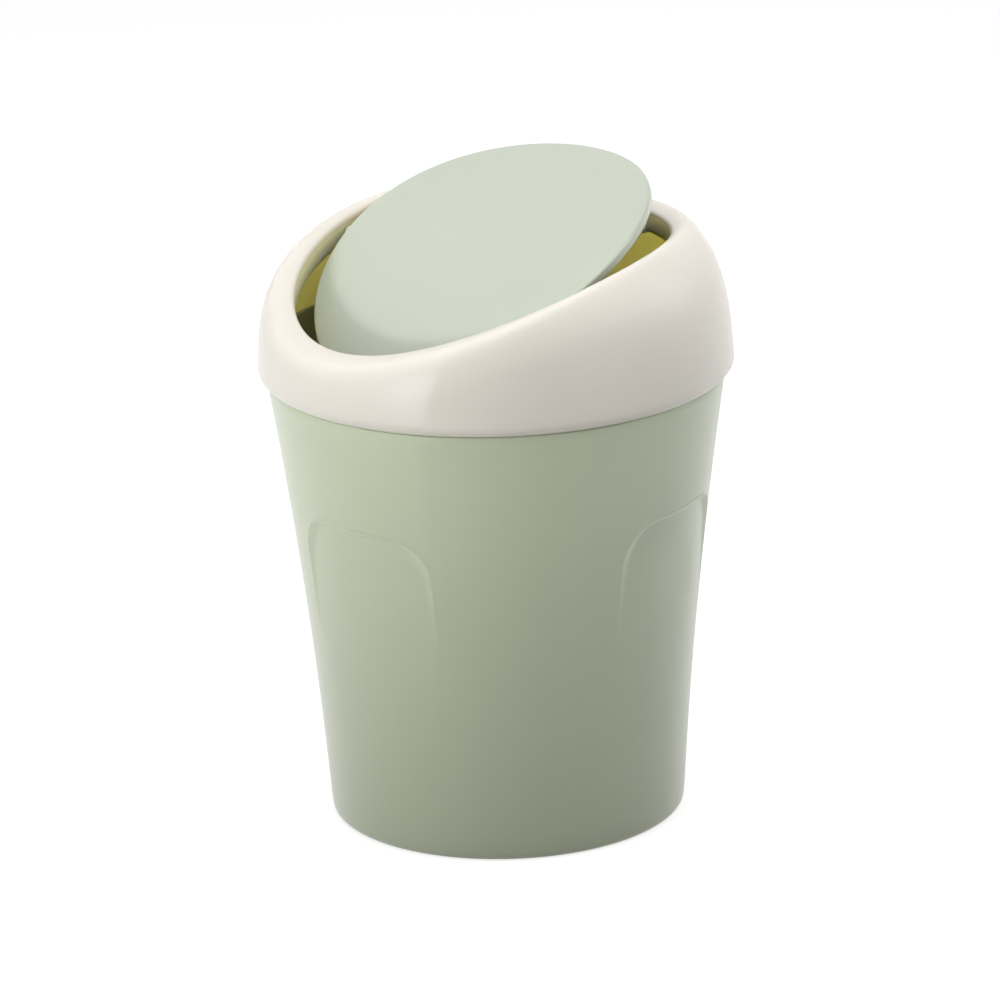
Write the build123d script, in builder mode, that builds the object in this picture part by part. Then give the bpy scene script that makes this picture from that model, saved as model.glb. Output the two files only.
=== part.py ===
from build123d import *
from math import sqrt
import os

# Countertop trash can with a swing lid: a flared bucket, a lift-off collar with an arched mouth,
# and a flap that rocks on two moulded pegs. Millimetres, +Z up, origin at the centre of the base,
# the low side of the arch faces -Y. The flap is stored tipped open by rest_tilt.

# Overall: the collar's widest place and the bucket's height set the rest
collar_radius = 68.2
bucket_height = 130.9        # base to the seat that carries the collar

# Bucket: outside
seat_overhang = 0.7          # collar's foot beyond the bucket's top
middle_taper = 8.7           # loss of radius at half height: a gentle flare
base_taper = 14.4
base_corner = 2.2
seat_corner = 0.5

# Bucket: wall, floor and foot
bucket_wall = 2.0
floor_thickness = 2.2
floor_corner = 4.0
foot_width = 5.0
foot_height = 1.2

# Bucket: neck inside the collar
neck_height = 11.0
neck_wall = 1.7
neck_corner = 0.7

# Bucket: shallow arch-topped grip reliefs, whose steeper floor runs out into the flare
relief_turns = (8.0, 110.0, 239.0)   # degrees about +Z from the front
relief_floor_inset = 6.1     # top of the floor inside the bucket's top radius
relief_floor_lean = 0.081    # radius that the floor gains over each millimetre of height
relief_half_width = 24.0
relief_drop = 32.9           # top of the reliefs below the seat
relief_corner = 12.0

# Collar: outside, a wall that leans and rounds inward under an arched top
collar_foot_tuck = 1.8
collar_foot_land = 2.3       # foot between its outer edge and its bore
collar_foot_rise = 1.8
collar_bulge_rise = 3.2
collar_bulge_sagitta = 0.9
collar_wall_spare = 2.8      # wall's construction over the arch's crown
collar_lean = 2.5            # even loss of radius over the wall's rise
collar_rounding = 9.9        # further loss, which grows towards the top
collar_wall = 2.0
shoulder_radius = 4.0
arch_radius = 177.0
arch_crown_y = 29.6
arch_front_rise = 11.23      # arch over the seat, at the collar's front

# Collar: mouth, its turned-down lip, pivot lugs and closing stop
rim_breadth = 14.5           # collar's widest place to the mouth
mouth_y = -4.0
lip_wall = 1.8
lip_depth = 6.0
lip_corner = 1.0
lug_width = 11.0
lug_thickness = 3.2
lug_drop = 5.5               # lugs' foot below the pivot
lug_corner = 3.0
lug_embed = 1.0              # top of the lugs below the collar's outside
lug_root = 0.2               # inner face of the lugs behind the mouth's
stop_width = 20.0
stop_reach = 4.2
stop_thickness = 1.6
stop_embed = 0.7             # of the stop in the lip's wall

# Flap: an arched disc with a turned-down rim
flap_arc_radius = 190.0
flap_crown_y = 29.9
flap_sink = 0.8              # crown below the arch's
flap_y = -4.0
flap_gap = 2.0               # between the flap's rim and the mouth
flap_skin = 1.8
flap_rim_depth = 4.2
flap_rim_wall = 1.8
flap_edge_round = 0.7
rest_tilt = 18.5             # degrees open, as stored

# Pivot: pegs on the flap's ears, held in the collar's lugs
pivot_y = -10.8
pivot_drop = 8.2             # below the arch's crown
peg_radius = 2.0
peg_tip_chamfer = 0.5
spacer_radius = 3.0
ear_radius = 3.8
ear_thickness = 2.6
ear_embed = 0.9              # top of the ears below the flap's outside

# Clearances
seat_gap = 0.3               # under the collar, over the flap's stop, and beside the spacers
neck_clearance = 0.3
peg_clearance = 0.06

# Derived radii
collar_foot_radius = collar_radius - collar_foot_tuck
collar_bore = collar_foot_radius - collar_foot_land
neck_radius = collar_bore - neck_clearance
neck_bore = neck_radius - neck_wall
top_radius = collar_foot_radius - seat_overhang
middle_radius = top_radius - middle_taper
base_radius = top_radius - base_taper
relief_floor_radius = top_radius - relief_floor_inset
mouth_radius = collar_radius - rim_breadth
flap_radius = mouth_radius - flap_gap

# Derived places
collar_bottom = bucket_height + seat_gap
relief_top = bucket_height - relief_drop
arch_fall = arch_radius - sqrt(arch_radius**2 - (collar_radius + arch_crown_y) ** 2)
arch_crown_z = bucket_height + arch_front_rise + arch_fall
flap_crown_z = arch_crown_z - flap_sink
pivot_z = arch_crown_z - pivot_drop
mouth_half_chord = sqrt(mouth_radius**2 - (pivot_y - mouth_y) ** 2)
flap_half_chord = sqrt(flap_radius**2 - (pivot_y - flap_y) ** 2)
lug_face = mouth_half_chord + lug_thickness
spacer_face = sqrt(mouth_radius**2 - (abs(pivot_y - mouth_y) + spacer_radius) ** 2) - seat_gap
flap_arc_z = flap_crown_z - flap_arc_radius
stop_y = flap_y + flap_radius - flap_rim_wall
rim_arc_radius = flap_arc_radius - flap_rim_depth
stop_top = flap_arc_z + sqrt(rim_arc_radius**2 - (stop_y - flap_crown_y) ** 2) - seat_gap
tall = arch_crown_z + collar_radius
wide = 2 * collar_radius
upward = (Align.CENTER, Align.CENTER, Align.MIN)


def flared_face(inset, bottom):
    """Half-section inside the bucket's flare, moved in by inset, from bottom up to the seat."""
    with BuildSketch(Plane.XZ) as section:
        with BuildLine():
            foot = (base_radius - inset, 0)
            middle = (middle_radius - inset, bucket_height / 2)
            head = (top_radius - inset, bucket_height)
            ThreePointArc(foot, middle, head)
            Polyline(head, (0, bucket_height), (0, 0), foot)
        make_face()
        with Locations((0, bottom)):
            Rectangle(wide, bucket_height, align=(Align.MIN, Align.MIN), mode=Mode.INTERSECT)
    return section.sketch


def relief_tool(grow):
    """Arch-topped blocks outside the reliefs' leaning floor, grown by a wall."""
    foot_radius = relief_floor_radius - relief_top * relief_floor_lean - grow
    head_radius = foot_radius + tall * relief_floor_lean
    with BuildPart() as block:
        with BuildSketch(Plane.XZ) as arch:
            width = 2 * (relief_half_width + grow)
            Rectangle(width, relief_top + grow, align=(Align.CENTER, Align.MIN))
            fillet(arch.vertices().group_by(Axis.Y)[-1], relief_corner + grow)
        extrude(amount=wide)
        Cone(foot_radius, head_radius, tall, align=upward, mode=Mode.SUBTRACT)
    with BuildPart() as tool:
        for turn in relief_turns:
            add(block.part, rotation=(0, 0, turn))
    return tool.part


def arch_bar(radius, crown_y, crown_z):
    """Long round bar across the part, whose top line is at the crown."""
    with BuildPart() as bar:
        with BuildSketch(Plane.YZ):
            with Locations((crown_y, crown_z - radius)):
                Circle(radius)
        extrude(amount=wide, both=True)
    return bar.part


def collar_form(inset):
    """Collar's outside moved in by inset: a wall that leans inward, shouldered under the arch."""
    bulge_radius = collar_radius - inset
    bulge_z = collar_bottom + collar_bulge_rise
    top_z = arch_crown_z + collar_wall_spare
    third = (top_z - bulge_z) / 3
    foot = (collar_foot_radius - inset, collar_bottom)
    bulge = (bulge_radius, bulge_z)
    low_pull = (bulge_radius - collar_lean / 3, bulge_z + third)
    high_pull = (bulge_radius - 2 * collar_lean / 3, top_z - third)
    wall_top = (bulge_radius - collar_lean - collar_rounding, top_z)
    with BuildPart() as form:
        with BuildSketch(Plane.XZ):
            with BuildLine():
                SagittaArc(foot, bulge, -collar_bulge_sagitta)
                Bezier(bulge, low_pull, high_pull, wall_top)
                Polyline(wall_top, (0, top_z), (0, collar_bottom), foot)
            make_face()
        revolve(axis=Axis.Z)
        add(arch_bar(arch_radius - inset, arch_crown_y, arch_crown_z - inset), mode=Mode.INTERSECT)
        fillet(form.faces().sort_by(Axis.Z)[-1].edges(), shoulder_radius - inset)
    return form.part


def mouth_core(grow):
    """Upright round core through the collar's mouth, grown outward by grow."""
    with BuildPart() as core:
        with BuildSketch(Plane.XY):
            with Locations((0, mouth_y)):
                Circle(mouth_radius + grow)
        extrude(amount=tall)
    return core.part


# Bucket
with BuildPart() as cavity:
    add(flared_face(bucket_wall, foot_height + floor_thickness))
    revolve(axis=Axis.Z)
    Cylinder(neck_bore, tall, align=upward, mode=Mode.INTERSECT)
    fillet(cavity.faces().sort_by(Axis.Z)[0].edges(), floor_corner)
    add(relief_tool(bucket_wall), mode=Mode.SUBTRACT)
    with BuildSketch(Plane.XY.offset(bucket_height)):
        Circle(neck_bore)
    extrude(amount=neck_height)

with BuildPart() as bucket:
    add(flared_face(0, 0))
    revolve(axis=Axis.Z)
    fillet(bucket.faces().sort_by(Axis.Z)[0].edges(), base_corner)
    fillet(bucket.faces().sort_by(Axis.Z)[-1].edges(), seat_corner)
    add(relief_tool(0), mode=Mode.SUBTRACT)
    with BuildSketch(Plane.XY.offset(bucket_height)):
        Circle(neck_radius)
    extrude(amount=neck_height)
    fillet(bucket.faces().sort_by(Axis.Z)[-1].edges(), neck_corner)
    add(cavity.part, mode=Mode.SUBTRACT)
    with BuildSketch(Plane.XY):
        Circle(base_radius - base_corner - foot_width)
    extrude(amount=foot_height, mode=Mode.SUBTRACT)
bucket.part.label = "bucket"

# Collar
with BuildPart() as lip_ring:
    add(mouth_core(lip_wall))
    add(
        arch_bar(arch_radius - lip_depth, arch_crown_y, arch_crown_z - lip_depth),
        mode=Mode.SUBTRACT,
    )

with BuildPart() as collar_hollow:
    add(collar_form(collar_wall))
    with BuildSketch(Plane.XY.offset(collar_bottom)):
        Circle(wide)
        Circle(collar_bore, mode=Mode.SUBTRACT)
    extrude(amount=collar_foot_rise, mode=Mode.SUBTRACT)
    add(lip_ring.part, mode=Mode.SUBTRACT)

with BuildPart() as lugs:
    with BuildSketch(Plane.YZ.offset(lug_face)) as tab:
        with Locations((pivot_y, pivot_z - lug_drop)):
            Rectangle(lug_width, 2 * lug_width, align=(Align.CENTER, Align.MIN))
        fillet(tab.vertices().group_by(Axis.Z)[0], lug_corner)
    extrude(amount=mouth_radius + lug_root - lug_face)
    mirror(about=Plane.YZ)
    add(collar_form(lug_embed), mode=Mode.INTERSECT)

with BuildPart() as collar:
    add(collar_form(0))
    add(mouth_core(0), mode=Mode.SUBTRACT)
    mouth_wall = collar.faces().filter_by(GeomType.CYLINDER).sort_by(SortBy.RADIUS)[0]
    fillet(mouth_wall.edges().sort_by(Axis.Z)[-1], lip_corner)
    add(collar_hollow.part, mode=Mode.SUBTRACT)
    add(lugs.part)
    with BuildSketch(Plane.YZ):
        with Locations((pivot_y, pivot_z)):
            Circle(peg_radius + peg_clearance)
    extrude(amount=lug_face, both=True, mode=Mode.SUBTRACT)
    with BuildSketch(Plane.XY.offset(stop_top)):
        with Locations((0, mouth_y + mouth_radius + stop_embed)):
            Rectangle(stop_width, stop_reach + stop_embed, align=(Align.CENTER, Align.MAX))
    extrude(amount=-stop_thickness)
collar.part.label = "collar"

# Flap, closed
with BuildPart() as flap_pocket:
    with BuildSketch(Plane.XY):
        with Locations((0, flap_y)):
            Circle(flap_radius - flap_rim_wall)
    extrude(amount=tall)
    add(
        arch_bar(flap_arc_radius - flap_skin, flap_crown_y, flap_crown_z - flap_skin),
        mode=Mode.INTERSECT,
    )

with BuildPart() as flap_closed:
    with BuildSketch(Plane.XY):
        with Locations((0, flap_y)):
            Circle(flap_radius)
    extrude(amount=tall)
    add(arch_bar(flap_arc_radius, flap_crown_y, flap_crown_z), mode=Mode.INTERSECT)
    fillet(flap_closed.faces().sort_by(Axis.Z)[-1].edges(), flap_edge_round)
    add(
        arch_bar(rim_arc_radius, flap_crown_y, flap_crown_z - flap_rim_depth),
        mode=Mode.SUBTRACT,
    )
    add(flap_pocket.part, mode=Mode.SUBTRACT)

with BuildPart() as pegs:
    with BuildSketch(Plane.YZ.offset(flap_half_chord)):
        with Locations((pivot_y, pivot_z)):
            Circle(ear_radius)
            Rectangle(2 * ear_radius, 2 * ear_radius, align=(Align.CENTER, Align.MIN))
    extrude(amount=-ear_thickness)
    add(
        arch_bar(flap_arc_radius - ear_embed, flap_crown_y, flap_crown_z - ear_embed),
        mode=Mode.INTERSECT,
    )
    with BuildSketch(Plane.YZ.offset(flap_half_chord - ear_thickness)):
        with Locations((pivot_y, pivot_z)):
            Circle(spacer_radius)
    extrude(amount=spacer_face - flap_half_chord + ear_thickness)
    with BuildSketch(Plane.YZ.offset(spacer_face)):
        with Locations((pivot_y, pivot_z)):
            Circle(peg_radius)
    extrude(amount=lug_face - spacer_face)
    chamfer(pegs.faces().sort_by(Axis.X)[-1].edges(), peg_tip_chamfer)
    mirror(about=Plane.YZ)

with BuildPart() as flap:
    closed = flap_closed.part + pegs.part
    add(closed.rotate(Axis((0, pivot_y, pivot_z), (1, 0, 0)), rest_tilt))
flap.part.label = "flap"

os.makedirs("parts", exist_ok=True)
for piece in (bucket, collar, flap):
    export_step(piece.part, f"parts/{piece.part.label}.step")
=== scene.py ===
import bmesh
import bpy
from math import asin, atan2, ceil, cos, degrees, hypot, pi, radians, sin, sqrt
from mathutils import Matrix, Quaternion, Vector


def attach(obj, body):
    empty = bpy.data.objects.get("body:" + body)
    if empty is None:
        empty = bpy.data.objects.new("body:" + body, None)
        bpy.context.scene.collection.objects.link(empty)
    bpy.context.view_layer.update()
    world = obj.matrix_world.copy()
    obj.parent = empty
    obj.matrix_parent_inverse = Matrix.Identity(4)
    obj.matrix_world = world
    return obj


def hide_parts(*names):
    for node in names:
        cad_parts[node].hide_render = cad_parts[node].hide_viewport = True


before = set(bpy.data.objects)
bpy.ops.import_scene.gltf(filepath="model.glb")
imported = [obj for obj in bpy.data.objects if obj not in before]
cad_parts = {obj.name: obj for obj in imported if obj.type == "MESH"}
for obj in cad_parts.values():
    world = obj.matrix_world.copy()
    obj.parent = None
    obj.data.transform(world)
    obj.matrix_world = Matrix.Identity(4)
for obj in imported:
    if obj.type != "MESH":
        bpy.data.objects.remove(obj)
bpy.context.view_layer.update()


# --- Bucket ---------------------------------------------------------------------------------
# One injection moulding in sage polypropylene with a satin skin: a flared wall on a foot ring,
# arch-topped finger reliefs sunk into the wall, and a thinner neck that takes the collar. The
# floor of a relief is more upright than the wall, so that it runs out into the flare below.

bucket_height = 130.9  # of the flared wall; millimetres, as every size below
base_radius = 51.3
flare_first = 8.4  # radius gained over the height, in proportion and as its square
flare_second = 6.0
bucket_wall = 2.0
base_corner = 2.2
foot_inner_radius = 44.1
foot_slope = 0.6
foot_height = 1.2
foot_edge = 0.5
floor_ring = 30.0
floor_top = 3.4
floor_corner = 4.0
floor_corner_z = 6.0  # where the flare's radius is taken for that corner
seat_corner = 0.5
neck_radius = 63.8
neck_fillet = 0.5
neck_middle = 136.0
neck_bore = 62.1
neck_bore_rows = (130, 118)  # below the second, the inside follows the flare
neck_bore_edge = 0.3
neck_top = 141.9
neck_corner = 0.7
bucket_steps = 480  # round the bucket
spin_shares = 12  # a spin is made in equal shares, which are then merged
joint = 0.002  # points nearer than this are one

relief_turns = (8.0, 110.0, 239.0)  # degrees round from the front
relief_half_width = 24.0
relief_top = 98.0
relief_bottom = 56.0  # below the run-out, where the relief has no depth left
relief_corner = 12.0
relief_depth = 1.6  # at the top; from there the floor leans inward by the next value
relief_floor_lean = 0.075
relief_side_run = 2.4  # width of the soft side walls for each millimetre of their depth
relief_top_run = 0.8  # the same, for the wall under the arch
relief_edge = 0.35  # softness of the outer edge, the foot of the wall and the run-out
relief_foot = 0.5
relief_run_out = 0.5
relief_near = 0.3  # nearer to the outline than this, the soft edge keeps its rest
bead_height = 0.22  # of the fine bead along the outline, under the arch
bead_half_width = 0.6
bead_offset = 0.2  # of its crest, outside the outline
bead_beside = 0.08  # share of its height that is left on the upright sides
window_half_turn = 27.2  # degrees; the part of the wall that a relief's own loops fill
window_bottom = 52
window_top = 103
loop_reach = 1.2  # a loop's points are sought up to this share of the loop before
loop_halvings = 24
relief_loops = (-1.1, -0.8, -0.68, -0.56, -0.44, -0.32, -0.2, -0.1, 0, 0.1, 0.2, 0.3, 0.4, 0.55,
                0.75, 0.95, 1.2, 1.5, 1.9, 2.3, 2.8, 3.3, 3.8, 4.4, 5.2, 6.2, 7.6, 9.5, 12, 15)


def arc(center, radius, start, end, count):
    """Points of an arc in the half-section, from start to end in degrees."""
    turns = [radians(start + (end - start) * i / (count - 1)) for i in range(count)]
    return [(center[0] + radius * cos(t), center[1] + radius * sin(t)) for t in turns]


def rows(start, end, spacing):
    """Even heights from start to just short of end."""
    count = ceil(abs(end - start) / spacing)
    return [start + (end - start) * i / count for i in range(count)]


def verts_of(geom):
    return [item for item in geom if isinstance(item, bmesh.types.BMVert)]


def spin_profile(bm, profile, steps):
    """Turns a half-section of (radius, height) points round the upright axis."""
    points = [bm.verts.new((radius, 0, height)) for radius, height in profile]
    edges = [bm.edges.new(pair) for pair in zip(points, points[1:])]
    bmesh.ops.spin(
        bm, geom=points + edges, cent=(0, 0, 0), axis=(0, 0, 1), dvec=(0, 0, 0),
        angle=2 * pi / spin_shares, steps=steps // spin_shares, use_duplicate=False,
    )
    share = bm.verts[:] + bm.edges[:] + bm.faces[:]
    for i in range(1, spin_shares):
        copy = bmesh.ops.duplicate(bm, geom=share)
        turn = Matrix.Rotation(i * 2 * pi / spin_shares, 3, "Z")
        bmesh.ops.rotate(bm, cent=(0, 0, 0), matrix=turn, verts=verts_of(copy["geom"]))
    bmesh.ops.remove_doubles(bm, verts=bm.verts, dist=joint)


def finish_piece(bm, name, finishes, body):
    """Closes the mesh, turns its faces outward, brings it to metres and sets it on its body."""
    bmesh.ops.remove_doubles(bm, verts=bm.verts, dist=joint)
    bmesh.ops.recalc_face_normals(bm, faces=bm.faces)
    bmesh.ops.scale(bm, vec=(0.001, 0.001, 0.001), verts=bm.verts)
    mesh = bpy.data.meshes.new(name)
    bm.to_mesh(mesh)
    bm.free()
    mesh.shade_smooth()
    for finish in finishes:
        mesh.materials.append(finish)
    piece = bpy.data.objects.new(name, mesh)
    bpy.context.scene.collection.objects.link(piece)
    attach(piece, body)
    return piece


def soft_max(first, second, softness):
    """The greater of two numbers, with a rounded change from one to the other."""
    return (first + second + sqrt((first - second) ** 2 + softness ** 2)) / 2


def flare(height):
    """Outside radius of the bucket's wall."""
    share = height / bucket_height
    return base_radius + flare_first * share + flare_second * share * share


def relief_inside(across, height):
    """Distance of a point inside a relief's arched outline, negative outside, and its upness."""
    half_rise = (relief_top - relief_bottom) / 2
    beside = abs(across) - relief_half_width + relief_corner
    above = abs(height - relief_top + half_rise) - half_rise + relief_corner
    reach = hypot(max(beside, 0), max(above, 0))
    upness = max(above, 0) / reach if reach else float(above > beside)
    return relief_corner - reach - min(max(beside, above), 0), upness


def relief_sink(across, height):
    """How far the wall is sunk toward the leaning floor of a relief, less its bead."""
    inside, upness = relief_inside(across, height)
    floor_radius = flare(relief_top) - relief_depth - relief_floor_lean * (relief_top - height)
    depth = soft_max(flare(height) - floor_radius, 0, relief_run_out) - relief_run_out / 4
    run = relief_side_run + (relief_top_run - relief_side_run) * upness ** 2
    rest = relief_edge ** 2 / 4 / max(-inside, relief_near)
    slope = soft_max(inside, 0, relief_edge) - rest
    sink = -soft_max(-slope / run, -depth, relief_foot * relief_depth / 2)
    across_bead = (inside + bead_offset) / bead_half_width
    bead = bead_height * max(0, 1 - across_bead ** 2) ** 2
    bead *= min(1, depth / relief_depth) * (bead_beside + (1 - bead_beside) * upness)
    return max(0, sink) - bead


def relief_point(turn, across, height):
    """Place on the sunk wall, across millimetres beside a relief's middle."""
    radius = flare(height)
    angle = radians(turn) + asin(across / radius)
    radius -= relief_sink(across, height)
    return Vector((radius * sin(angle), -radius * cos(angle), height))


def beside_relief(point, turn):
    """Place of a point of the wall beside a relief's middle line, and the turn to it."""
    offset = (degrees(atan2(point.x, -point.y)) - turn + 180) % 360 - 180
    return hypot(point.x, point.y) * sin(radians(offset)), offset


def sink_relief(bm, turn):
    """Cuts a window in the bucket's wall and closes it with loops that follow the relief."""
    window = []
    for face in bm.faces:
        center = face.calc_center_median()
        offset = beside_relief(center, turn)[1]
        outer = hypot(center.x, center.y) > flare(center.z) - bucket_wall / 2
        if abs(offset) < window_half_turn and window_bottom < center.z < window_top and outer:
            window.append(face)
    bmesh.ops.delete(bm, geom=window, context="FACES")
    loop = [edge for edge in bm.edges if edge.is_boundary]
    middle = (relief_top + relief_bottom) / 2
    flat = []  # the loops' points, laid out flat until all are there
    for level in relief_loops:
        grown = bmesh.ops.extrude_edge_only(bm, edges=loop)["geom"]
        loop = [item for item in grown if isinstance(item, bmesh.types.BMEdge)]
        for vert in verts_of(grown):
            across, height = vert.co.x, vert.co.z
            if level == relief_loops[0]:
                across = beside_relief(vert.co, turn)[0]
            low, high = 0.0, loop_reach
            for _ in range(loop_halvings):
                share = (low + high) / 2
                place = relief_inside(across * share, middle + (height - middle) * share)[0]
                low, high = (share, high) if place > level else (low, share)
            vert.co = Vector((across * low, 0, middle + (height - middle) * low))
        flat += verts_of(grown)
    bmesh.ops.holes_fill(bm, edges=loop)
    for vert in flat:
        vert.co = relief_point(turn, vert.co.x, vert.co.z)


seat_edge = bucket_height - seat_corner
bucket_profile = [(0, foot_height), (foot_inner_radius - foot_slope, foot_height)]
bucket_profile += arc((foot_inner_radius + foot_edge, foot_edge), foot_edge, 180, 270, 4)
bucket_profile += arc((base_radius - base_corner, base_corner), base_corner, -90, -4, 8)
bucket_profile += [(flare(height), height) for height in rows(5, seat_edge, 2.0)]
bucket_profile += arc((flare(seat_edge) - seat_corner, seat_edge), seat_corner, 10, 90, 5)
bucket_profile += [(neck_radius + neck_fillet, bucket_height)]
bucket_profile += [(neck_radius, bucket_height + neck_fillet), (neck_radius, neck_middle)]
bucket_profile += arc((neck_radius - neck_corner, neck_top - neck_corner), neck_corner, 0, 90, 5)
bore_edge = (neck_bore + neck_bore_edge, neck_top - neck_bore_edge)
bucket_profile += arc(bore_edge, neck_bore_edge, 90, 180, 3)
bucket_profile += [(neck_bore, height) for height in neck_bore_rows]
inner_heights = [116, 112, 108, 104] + rows(101, 62, 1.0) + rows(62, 9, 6.0)
bucket_profile += [(flare(height) - bucket_wall, height) for height in inner_heights]
inner_corner = (flare(floor_corner_z) - bucket_wall - floor_corner, floor_top + floor_corner)
bucket_profile += arc(inner_corner, floor_corner, -5, -90, 7)
bucket_profile += [(floor_ring, floor_top), (0, floor_top)]

bm = bmesh.new()
spin_profile(bm, bucket_profile, bucket_steps)
for turn in relief_turns:
    sink_relief(bm, turn)

gloss_drift = 0.03  # roughness either way
shade_from = -0.5  # a face's aim outward, where the painted inward shade starts and where it is full
shade_full = -0.95


def link(material, source, socket, target, name):
    material.node_tree.links.new(source.outputs[socket], target.inputs[name])


def plastic(name, color, roughness, shades, coat):
    """Moulded plastic: faint cloudy colour, and a skin whose gloss and surface drift a little."""
    material = bpy.data.materials.new(name)
    material.use_nodes = True
    nodes = material.node_tree.nodes
    shader = nodes["Principled BSDF"]
    shader.inputs["IOR"].default_value = 1.49
    shader.inputs["Coat Weight"].default_value = coat
    shader.inputs["Coat Roughness"].default_value = 0.3
    place = nodes.new("ShaderNodeTexCoord")
    cloud = nodes.new("ShaderNodeTexNoise")
    cloud.inputs["Scale"].default_value = 22
    cloud.inputs["Detail"].default_value = 3
    tint = nodes.new("ShaderNodeValToRGB")
    tint.color_ramp.elements[0].position = 0.3
    tint.color_ramp.elements[0].color = tuple(c * (1 - shades) for c in color) + (1,)
    tint.color_ramp.elements[1].position = 0.7
    tint.color_ramp.elements[1].color = tuple(c * (1 + shades) for c in color) + (1,)
    link(material, place, "Object", cloud, "Vector")
    link(material, cloud, "Fac", tint, "Fac")
    link(material, tint, "Color", shader, "Base Color")
    gloss = nodes.new("ShaderNodeMapRange")
    gloss.inputs["To Min"].default_value = roughness - gloss_drift
    gloss.inputs["To Max"].default_value = roughness + gloss_drift
    link(material, cloud, "Fac", gloss, "Value")
    link(material, gloss, "Result", shader, "Roughness")
    skin = nodes.new("ShaderNodeTexNoise")
    skin.inputs["Scale"].default_value = 900
    skin.inputs["Detail"].default_value = 2
    link(material, place, "Object", skin, "Vector")
    relief = nodes.new("ShaderNodeBump")
    relief.inputs["Strength"].default_value = 0.04
    relief.inputs["Distance"].default_value = 0.0002
    link(material, skin, "Fac", relief, "Height")
    link(material, relief, "Normal", shader, "Normal")
    return material


# The inward colour stands in for the dim, warm bounced light inside the hollow: it is painted
# shade, not the plastic's own colour.
def paint_inward_shade(material, shade_color):
    """Painted shade: turns the colour toward shade_color on the faces that look at the middle
    line.
    """
    nodes = material.node_tree.nodes
    shader = nodes["Principled BSDF"]
    place = nodes.new("ShaderNodeTexCoord")
    level = nodes.new("ShaderNodeVectorMath")
    level.operation = "MULTIPLY"
    level.inputs[1].default_value = (1, 1, 0)
    link(material, place, "Object", level, "Vector")
    outward = nodes.new("ShaderNodeVectorMath")
    outward.operation = "NORMALIZE"
    link(material, level, "Vector", outward, "Vector")
    facing = nodes.new("ShaderNodeVectorMath")
    facing.operation = "DOT_PRODUCT"
    link(material, place, "Normal", facing, 0)
    link(material, outward, "Vector", facing, 1)
    inward = nodes.new("ShaderNodeMapRange")
    inward.interpolation_type = "SMOOTHSTEP"
    inward.inputs["From Min"].default_value = shade_from
    inward.inputs["From Max"].default_value = shade_full
    link(material, facing, "Value", inward, "Value")
    blend = nodes.new("ShaderNodeMixRGB")
    blend.inputs["Color2"].default_value = shade_color + (1,)
    tint = shader.inputs["Base Color"].links[0].from_node
    link(material, inward, "Result", blend, "Fac")
    link(material, tint, "Color", blend, "Color1")
    link(material, blend, "Color", shader, "Base Color")


bucket_plastic = plastic("bucket_plastic", (0.455, 0.503, 0.357), 0.34, 0.012, 0.5)
# Painted shade: the bucket's inward faces turn olive, standing in for the dim light inside it.
paint_inward_shade(bucket_plastic, (0.46, 0.46, 0.22))
bucket = finish_piece(bm, "bucket_shell", [bucket_plastic], "bucket")
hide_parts("bucket")


# --- Collar ---------------------------------------------------------------------------------
# One moulding in warm ivory polypropylene, pressed over the bucket's neck. Its wall leans and
# rounds inward to a broad soft rim; a turned-down lip edges the mouth. The moulding is hollow
# between wall and lip; its inside faces are painted a khaki shade that stands in for the warm
# bounced light in the hollow, where the light also soaks through.

collar_bottom = 131.2
collar_foot_radius = 66.4
collar_bore = 64.1
collar_foot_rise = 1.8
collar_foot_edge = 0.5
collar_bore_edge = 0.2
collar_bulge_radius = 68.2
collar_bulge_z = 134.4
foot_pulls = (Vector((67.0, 132.0)), Vector((68.3, 132.9)))  # of the curve from foot to bulge
collar_lean = 1.64  # radius lost over each lean_height, in proportion and as its cube
collar_rounding = 4.02
lean_height = 30.0
least_wall = 0.2  # height of the leaning wall where the rim is lowest
collar_wall = 2.0
collar_steps = 432
arch_radius = 177.3
arch_crown = (29.6, 171.6)  # y, z
mouth_radius = 53.7
mouth_y = -4.0
lip_raise = 0.35
lip_round = 0.8
lip_round_out = 1.4  # the rounding's reach along the rim and down the lip, in lip_rounds
lip_round_down = 1.3
lip_pull = 0.6
lip_wall = 1.8
lip_depth = 6.0
lip_edge = 0.2
lip_slot = 0.8  # least gap between the lip and the inside of the wall
ceiling_drop = 0.4
shoulder_raise = 4.2  # of the rim's outer corner over the arch, before it is rounded off
shoulder_depth = 11.5
rim_pull = 0.95  # how far each end of the rim's curve heads for that corner
shoulder_pull = 0.70
foot_rows = 6  # points of the section: foot to bulge, leaning wall, rim and lip
wall_rows = 8
rim_rows = 24
lip_rows = 7


def arch(y, radius, crown, depth=0.0):
    """Height of an arched surface across the part, at y, depth below its outside."""
    return crown[1] - radius + sqrt((radius - depth) ** 2 - (y - crown[0]) ** 2)


def wall_radius(height):
    """Outside radius of the collar's leaning wall."""
    share = (height - collar_bulge_z) / lean_height
    return collar_bulge_radius - collar_lean * share - collar_rounding * max(share, 0) ** 3


def bezier(points, count):
    """Points along a cubic curve in the half-section, without its first one."""
    curve = []
    for i in range(1, count + 1):
        t = i / count
        weights = ((1 - t) ** 3, 3 * t * (1 - t) ** 2, 3 * t * t * (1 - t), t ** 3)
        curve.append(sum((w * p for w, p in zip(weights, points)), Vector((0, 0))))
    return curve


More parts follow.
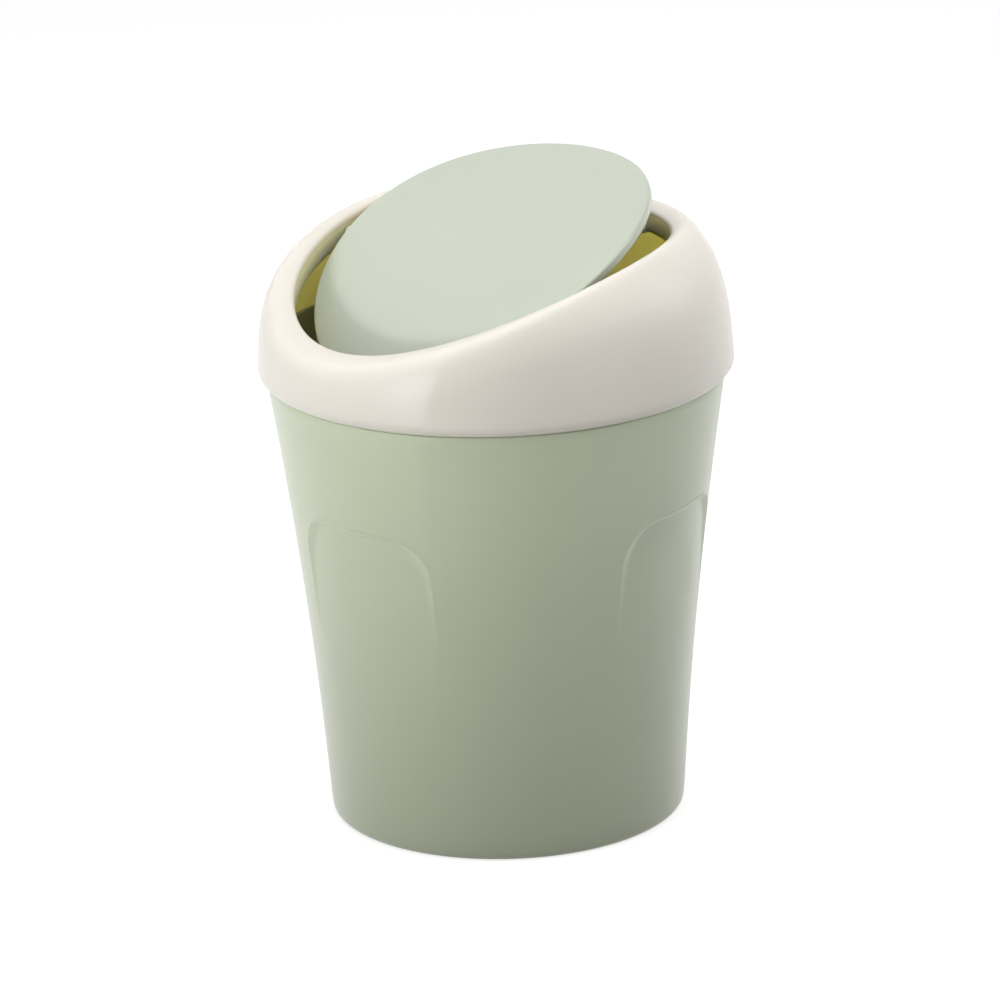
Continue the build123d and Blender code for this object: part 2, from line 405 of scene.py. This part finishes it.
def collar_section(azimuth):
    """The collar's section at an azimuth from the front: outside points, then inside ones."""
    toward = -cos(azimuth)
    along = toward * mouth_y
    edge = along + sqrt(mouth_radius ** 2 - mouth_y ** 2 + along ** 2)
    lip = Vector((edge, arch(edge * toward, arch_radius, arch_crown) + lip_raise))
    top = arch(66 * toward, arch_radius, arch_crown) + shoulder_raise
    for _ in range(8):  # each turn brings the corner nearer to wall and arch at once
        top = arch(wall_radius(top) * toward, arch_radius, arch_crown) + shoulder_raise
    corner = Vector((wall_radius(top), top))
    start = max(top - shoulder_depth, collar_bulge_z + least_wall)
    shoulder = Vector((wall_radius(start), start))

    foot = (collar_foot_radius - collar_foot_edge, collar_bottom + collar_foot_edge)
    outside = [Vector(p) for p in arc(foot, collar_foot_edge, -90, 0, 5)]
    bulge = Vector((collar_bulge_radius, collar_bulge_z))
    outside += bezier((outside[-1], *foot_pulls, bulge), foot_rows)
    wall_start = len(outside)
    for i in range(1, wall_rows + 1):
        height = collar_bulge_z + (start - collar_bulge_z) * i / wall_rows
        outside.append(Vector((wall_radius(height), height)))
    rim = (corner - lip).normalized()
    rim_end = lip + rim * lip_round * lip_round_out
    outside += bezier((shoulder, shoulder + (corner - shoulder) * shoulder_pull,
                       rim_end + (corner - rim_end) * rim_pull, rim_end), rim_rows)
    rim_stop = len(outside)
    lip_start = lip - Vector((0, lip_round * lip_round_down))
    outside += bezier((rim_end, rim_end + (lip - rim_end) * lip_pull,
                       lip_start + (lip - lip_start) * lip_pull, lip_start), lip_rows)

    back = edge + lip_wall
    bottom = lip.y - lip_raise - lip_depth
    flange = [Vector((edge, bottom + (lip_start.y - bottom) * share)) for share in (0.6, 0.2)]
    flange += [Vector((edge + lip_edge, bottom)), Vector((back - lip_edge, bottom))]
    ceiling = lip.y - lip_raise - collar_wall - ceiling_drop
    flange += [Vector((back, bottom + 0.4)), Vector((back, ceiling - 0.6))]

    inside = []
    for i in range(wall_start, rim_stop + 1):
        run = (outside[i + 1] - outside[i - 1]).normalized()
        inner = outside[i] + Vector((-run.y, run.x)) * collar_wall
        inside.append(inner if inner.x > back + lip_slot else Vector((back + 0.3, ceiling)))
    seat_top = collar_bottom + collar_foot_rise
    seat = [
        Vector((wall_radius(collar_bulge_z) - collar_wall, seat_top)),
        Vector((collar_bore, seat_top)),
        Vector((collar_bore, collar_bottom + collar_bore_edge)),
        Vector((collar_bore + collar_bore_edge, collar_bottom)),
    ]
    return outside, flange + inside[::-1] + seat


# a plain tube with a row for each point of the section, which is then moved into shape
bm = bmesh.new()
outside, inside = collar_section(0)
spin_profile(bm, [(1, row) for row in range(len(outside + inside))] + [(1.5, 0)], collar_steps)
inside_rows = len(outside) - 0.6
# the inside faces take the second finish, with its painted khaki shade
for face in bm.faces:
    face.material_index = int(face.calc_center_median().z > inside_rows)
sections = [sum(collar_section(i * 2 * pi / collar_steps), []) for i in range(collar_steps)]
for vert in bm.verts:
    step = round(atan2(vert.co.x, -vert.co.y) * collar_steps / (2 * pi)) % collar_steps
    radius, height = sections[step][round(vert.co.z)]
    angle = step * 2 * pi / collar_steps
    vert.co = Vector((radius * sin(angle), -radius * cos(angle), height))

collar_plastic = plastic("collar_plastic", (0.634, 0.600, 0.535), 0.31, 0.008, 0.5)
# Painted shade: the collar's inward faces, the lip and the mouth's inner rounding, turn a warm
# khaki standing in for the bounced light in the mouth.
paint_inward_shade(collar_plastic, (0.58, 0.50, 0.36))
# Painted shade: the inside finish is a warm khaki standing in for the bounced light in the
# hollow; its subsurface lets real light soak through the wall.
collar_inside_painted_shade = plastic("collar_inside_painted_shade", (0.90, 0.78, 0.44), 0.42, 0.02, 0.0)
soaking = collar_inside_painted_shade.node_tree.nodes["Principled BSDF"]
soaking.inputs["Subsurface Weight"].default_value = 1.0
soaking.inputs["Subsurface Scale"].default_value = 0.001
soaking.inputs["Subsurface Radius"].default_value = (9.0, 8.0, 5.0)
collar_finishes = [collar_plastic, collar_inside_painted_shade]
collar = finish_piece(bm, "collar_shell", collar_finishes, "collar")
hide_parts("collar")


# --- Pivot lugs and closing stop ------------------------------------------------------------
# Moulded with the collar: two tabs behind the lip, bored for the flap's pegs, and a short shelf
# behind the mouth that the closed flap's rim comes to rest under.

pivot = Vector((0, -10.8, 163.4))
sides = {"left": -1, "right": 1}
lug_half_width = 5.5
lug_inner_face = 53.9
lug_outer_face = 56.47
lug_drop = 5.5
lug_corner = 3.0
lug_embed = 1.0
lug_search = 12.0  # the tab's outline is nearer to the bore's middle than this
bore_radius = 2.06
bore_steps = 64
stop_half_width = 10.0
stop_front = 45.5
stop_back = 50.4
stop_top = 165.6
stop_thickness = 1.6
stop_edge = 0.4


def disc(radius, x, steps):
    """A round face square to the pivot line, at x."""
    bm = bmesh.new()
    bmesh.ops.create_circle(bm, cap_ends=True, radius=radius, segments=steps)
    bmesh.ops.rotate(bm, matrix=Matrix.Rotation(pi / 2, 3, "Y"), verts=bm.verts)
    bmesh.ops.translate(bm, vec=pivot + Vector((x, 0, 0)), verts=bm.verts)
    return bm


def thicken(bm, depth):
    """Pushes a face square to the pivot line into a solid, by depth along x."""
    pushed = bmesh.ops.extrude_face_region(bm, geom=bm.faces[:], use_keep_orig=True)["geom"]
    bmesh.ops.translate(bm, vec=(depth, 0, 0), verts=verts_of(pushed))


def lug_reach(direction):
    """Distance from the bore's middle to the tab's outline."""
    low, high = 0.0, lug_search
    while high - low > joint:
        share = (low + high) / 2
        y, z = direction.y * share, direction.z * share
        beside = max(abs(y) - lug_half_width + lug_corner, 0)
        below = max(-z - lug_drop + lug_corner, 0)
        top = arch(pivot.y + y, arch_radius, arch_crown) - lug_embed - pivot.z
        inside = hypot(beside, below) < lug_corner and z < top
        low, high = (share, high) if inside else (low, share)
    return low


for name, side in sides.items():
    bm = disc(bore_radius, side * lug_inner_face, bore_steps)
    bmesh.ops.delete(bm, geom=bm.faces[:], context="FACES_ONLY")
    grown = bmesh.ops.extrude_edge_only(bm, edges=bm.edges[:])["geom"]
    center = pivot + Vector((side * lug_inner_face, 0, 0))
    for vert in verts_of(grown):
        direction = (vert.co - center).normalized()
        vert.co = center + direction * lug_reach(direction)
    thicken(bm, side * (lug_outer_face - lug_inner_face))
    finish_piece(bm, "collar_lug_" + name, [collar_plastic], "collar")

bm = bmesh.new()
bmesh.ops.create_cube(bm, size=1)
stop_size = (2 * stop_half_width, stop_back - stop_front, stop_thickness)
bmesh.ops.scale(bm, vec=stop_size, verts=bm.verts)
stop_place = (0, (stop_front + stop_back) / 2, stop_top - stop_thickness / 2)
bmesh.ops.translate(bm, vec=stop_place, verts=bm.verts)
bmesh.ops.bevel(
    bm, geom=bm.edges[:], offset=stop_edge, offset_type="OFFSET", affect="EDGES", segments=3,
    profile=0.5, material=-1,
)
finish_piece(bm, "collar_stop", [collar_plastic], "collar")


# --- Flap -----------------------------------------------------------------------------------
# One moulding in a paler sage polypropylene, hung in the mouth on its two pegs: an arched disc
# with a turned-down rim. It rests tipped open until it is pushed.

flap_radius = 51.7
flap_y = -4.0
flap_arch_radius = 190.0
flap_crown = (29.9, 170.8)  # y, z
flap_skin = 1.8
flap_rim_depth = 2.9
flap_rim_wall = 1.8
flap_edge_round = 0.8
flap_rim_edge = 0.4
flap_rim_inner_edge = 0.3
flap_steps = 360
flap_rings = 13
flap_ring = 3.6  # spacing of the rings on top and underneath
flap_under_rings = 10
flap_under_ring = 4.6
rest_tilt = 18.5

rim_inside = flap_radius - flap_rim_wall
flap_profile = [(0, 0)] + [(flap_ring * ring, 0) for ring in range(1, flap_rings + 1)]
flap_profile += arc((flap_radius - flap_edge_round, -flap_edge_round), flap_edge_round, 90, 0, 8)
rim_edge = (flap_radius - flap_rim_edge, flap_rim_edge - flap_rim_depth)
flap_profile += arc(rim_edge, flap_rim_edge, 0, -90, 4)
inner_edge = (rim_inside + flap_rim_inner_edge, flap_rim_inner_edge - flap_rim_depth)
flap_profile += arc(inner_edge, flap_rim_inner_edge, -90, -180, 3)
flap_profile += [(rim_inside, -flap_skin - flap_rim_inner_edge)]
flap_profile += [(rim_inside - flap_rim_inner_edge, -flap_skin)]
flap_profile += [(flap_under_ring * ring, -flap_skin) for ring in range(flap_under_rings, -1, -1)]


def swing(bm, angle):
    """Turns a piece about the flap's pivot line, front down and rear up."""
    turn = Matrix.Rotation(radians(angle), 3, "X")
    bmesh.ops.rotate(bm, cent=pivot, matrix=turn, verts=bm.verts)


bm = bmesh.new()
spin_profile(bm, flap_profile, flap_steps)
for vert in bm.verts:
    vert.co.y += flap_y
    vert.co.z = arch(vert.co.y, flap_arch_radius, flap_crown, -vert.co.z)
swing(bm, rest_tilt)
flap_plastic = plastic("flap_plastic", (0.391, 0.426, 0.349), 0.32, 0.012, 0.8)
flap = finish_piece(bm, "flap_shell", [flap_plastic], "flap")
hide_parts("flap")


# --- Ears and pegs --------------------------------------------------------------------------
# Moulded with the flap, under its rim: each ear carries a spacer that keeps the flap centred and
# a chamfered peg that turns in the collar's lug.

ear_radius = 3.8
ear_outer_face = 51.25
ear_thickness = 2.6
ear_embed = 0.9
spacer_root = ear_outer_face - 1
spacer_radius = 2.3
spacer_face = 52.4
spacer_edge = 0.2
peg_radius = 2.0
peg_tip = 56.47
peg_chamfer = 0.5
peg_steps = 48

for name, side in sides.items():
    bm = disc(ear_radius, side * (ear_outer_face - ear_thickness), peg_steps)
    for vert in bm.verts:
        if vert.co.z > pivot.z + 0.01:
            vert.co.z = arch(vert.co.y, flap_arch_radius, flap_crown) - ear_embed
    thicken(bm, side * ear_thickness)
    swing(bm, rest_tilt)
    finish_piece(bm, "flap_ear_" + name, [flap_plastic], "flap")

    bm = bmesh.new()
    spin_profile(bm, [
        (0, spacer_root), (spacer_radius, spacer_root),
        (spacer_radius, spacer_face - spacer_edge), (spacer_radius - spacer_edge, spacer_face),
        (peg_radius, spacer_face), (peg_radius, peg_tip - peg_chamfer),
        (peg_radius - peg_chamfer, peg_tip), (0, peg_tip),
    ], peg_steps)
    bmesh.ops.rotate(bm, matrix=Matrix.Rotation(side * pi / 2, 3, "Y"), verts=bm.verts)
    bmesh.ops.translate(bm, vec=pivot, verts=bm.verts)
    finish_piece(bm, "flap_peg_" + name, [flap_plastic], "flap")


# --- Studio ---------------------------------------------------------------------------------
# A white sweep under soft daylight from the left and above, with two narrow-beamed lamps that
# brighten the upper front and right of the part. The camera looks a little down on it.

camera_place = Vector((1.322, -1.052, 0.6344))  # metres, as all of the studio
camera_aim = Vector((0, 0, 0.0917))
camera_roll = -0.0293
part_middle = (0, 0, 0.09)
room_light = 0.15  # strength of the room as a light, and as it is seen and mirrored
room_seen = 0.9
paper_shade = 0.4
paper_glow = 0.75  # only where the paper is seen, so that it whitens without lighting the part
paper_radius = 2.5


def lamp(name, place, aim, width, height, watts, spread=180):
    """A rectangular lamp that neither shows nor mirrors, its spread in degrees."""
    light = bpy.data.lights.new(name, "AREA")
    light.shape = "RECTANGLE"
    light.size = width
    light.size_y = height
    light.energy = watts
    light.spread = radians(spread)
    holder = bpy.data.objects.new(name, light)
    bpy.context.scene.collection.objects.link(holder)
    holder.location = place
    holder.rotation_mode = "QUATERNION"
    holder.rotation_quaternion = (Vector(aim) - Vector(place)).to_track_quat("-Z", "Y")
    holder.visible_camera = False
    holder.visible_glossy = False


def seen_directly(tree):
    """One for camera, mirror and see-through rays, nought for the rays that light things."""
    path = tree.nodes.new("ShaderNodeLightPath")
    first = tree.nodes.new("ShaderNodeMath")
    first.operation = "MAXIMUM"
    tree.links.new(path.outputs["Is Camera Ray"], first.inputs[0])
    tree.links.new(path.outputs["Is Glossy Ray"], first.inputs[1])
    second = tree.nodes.new("ShaderNodeMath")
    second.operation = "MAXIMUM"
    tree.links.new(first.outputs[0], second.inputs[0])
    tree.links.new(path.outputs["Is Transmission Ray"], second.inputs[1])
    return second.outputs[0]


camera = bpy.data.objects.new("camera", bpy.data.cameras.new("camera"))
bpy.context.scene.collection.objects.link(camera)
camera.data.lens = 221.6
camera.data.sensor_width = 36
camera.location = camera_place
camera.rotation_mode = "QUATERNION"
sight = (camera_aim - camera_place).to_track_quat("-Z", "Y")
camera.rotation_quaternion = sight @ Quaternion((0, 0, 1), camera_roll)
bpy.context.scene.camera = camera

lamp("left_window", (-0.513, -1.125, 0.35), part_middle, 1.0, 0.8, 5.8)
lamp("right_box", (0.733, 0.439, 0.9), part_middle, 0.6, 0.6, 2.2)
lamp("top_box", (0, 0, 1.2), part_middle, 1.0, 1.0, 14.2)
lamp("front_left_grid", (0.158, -1.085, 0.26), (0, 0, 0.24), 0.7, 0.3, 0.45, 16)
lamp("right_grid", (0.529, 0.985, 0.55), (0, 0, 0.26), 0.5, 0.3, 0.28, 14)

world = bpy.data.worlds.new("white_room")
bpy.context.scene.world = world
world.use_nodes = True
tree = world.node_tree
tree.nodes["Background"].inputs["Color"].default_value = (1, 1, 1, 1)
tree.nodes["Background"].inputs["Strength"].default_value = room_light
backdrop = tree.nodes.new("ShaderNodeBackground")
backdrop.inputs["Strength"].default_value = room_seen
choose = tree.nodes.new("ShaderNodeMixShader")
tree.links.new(seen_directly(tree), choose.inputs[0])
tree.links.new(tree.nodes["Background"].outputs[0], choose.inputs[1])
tree.links.new(backdrop.outputs[0], choose.inputs[2])
tree.links.new(choose.outputs[0], tree.nodes["World Output"].inputs[0])

bm = bmesh.new()
bmesh.ops.create_circle(bm, cap_ends=True, radius=paper_radius, segments=96)
floor_mesh = bpy.data.meshes.new("floor")
bm.to_mesh(floor_mesh)
bm.free()
floor = bpy.data.objects.new("floor", floor_mesh)
bpy.context.scene.collection.objects.link(floor)
paper = bpy.data.materials.new("floor_paper")
paper.use_nodes = True
tree = paper.node_tree
sheet = tree.nodes["Principled BSDF"]
sheet.inputs["Base Color"].default_value = (paper_shade, paper_shade, paper_shade, 1)
sheet.inputs["Roughness"].default_value = 0.9
glow = tree.nodes.new("ShaderNodeEmission")
share = tree.nodes.new("ShaderNodeMath")
share.operation = "MULTIPLY"
share.inputs[1].default_value = paper_glow
tree.links.new(seen_directly(tree), share.inputs[0])
tree.links.new(share.outputs[0], glow.inputs["Strength"])
both = tree.nodes.new("ShaderNodeAddShader")
tree.links.new(sheet.outputs[0], both.inputs[0])
tree.links.new(glow.outputs[0], both.inputs[1])
tree.links.new(both.outputs[0], tree.nodes["Material Output"].inputs[0])
floor_mesh.materials.append(paper)

bpy.context.scene.view_settings.view_transform = "Standard"
